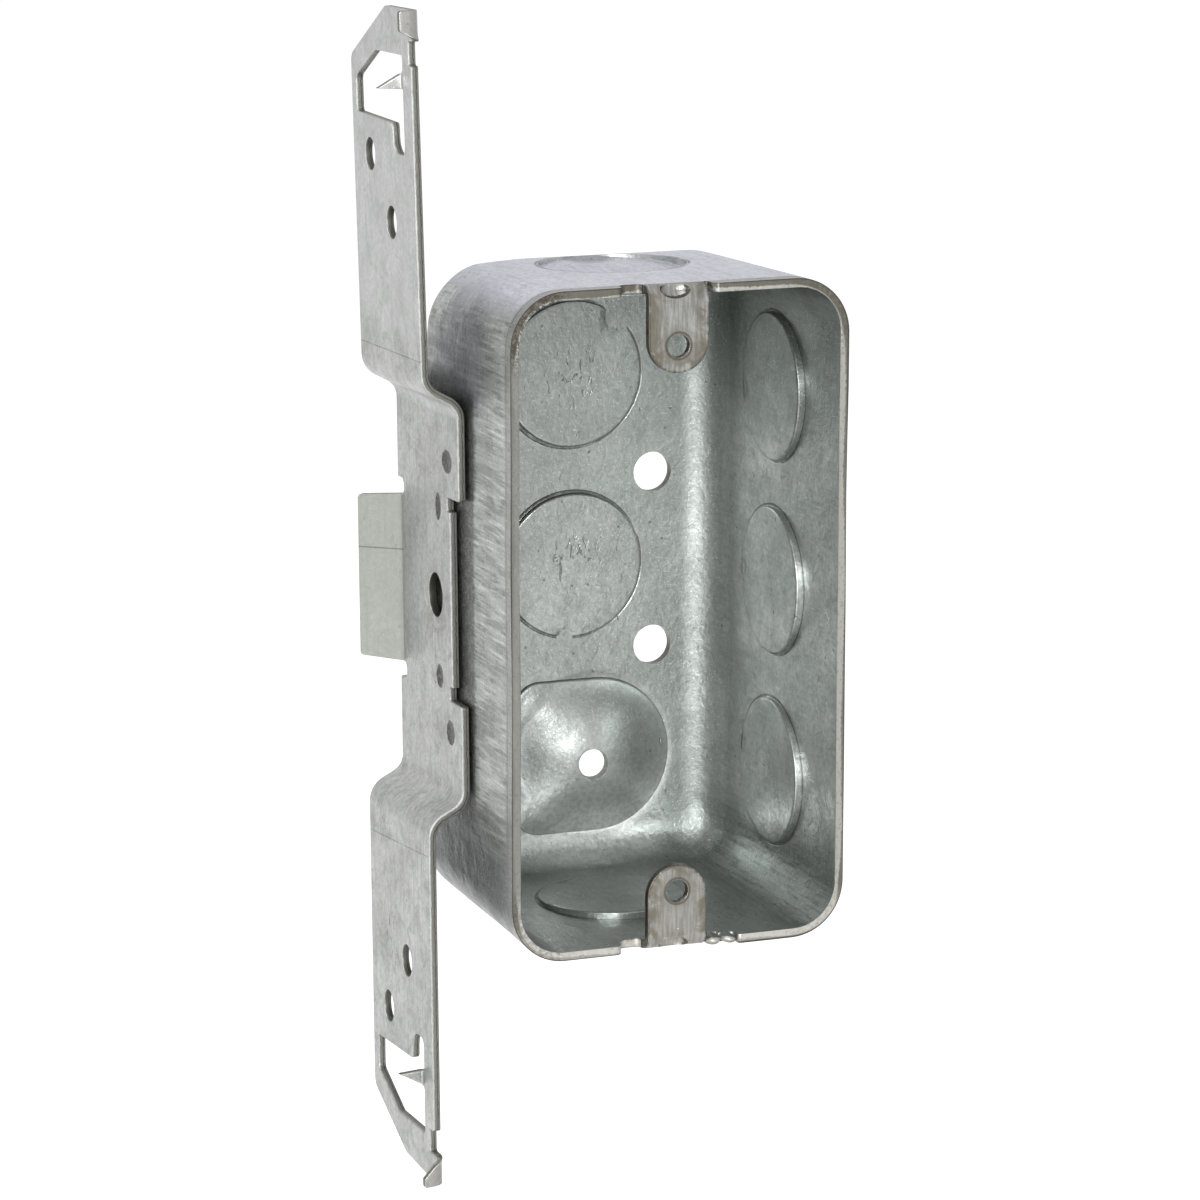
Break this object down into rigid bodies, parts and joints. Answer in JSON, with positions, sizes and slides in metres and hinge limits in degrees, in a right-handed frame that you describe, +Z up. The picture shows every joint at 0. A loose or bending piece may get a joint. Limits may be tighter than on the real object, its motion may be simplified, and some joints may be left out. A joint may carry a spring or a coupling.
{
  "type": "electrical wall box",
  "caption": "Drawn steel electrical wall box, open at the front, with round knockouts, bent-in device tabs, a raised ground boss and a stamped stud bracket welded to its left side.",
  "frame": {"origin": "on the box's centre line, at the outer face of the middle rear knockout disc", "axes": "+Y points into the wall, out of the back of the box; +Z is up, along the box's long side; the opening faces -Y and the stud bracket is on the -X side"},
  "size_m": [0.065, 0.0544, 0.1799],
  "materials": {
    "box_steel": "galvanised, dull, with drawing marks",
    "bracket_steel": "galvanised, dull, lightly stained"
  },
  "bodies": {
    "root": {"box_body": "box_steel", "stud_bracket": "bracket_steel"}
  },
  "joints": []
}
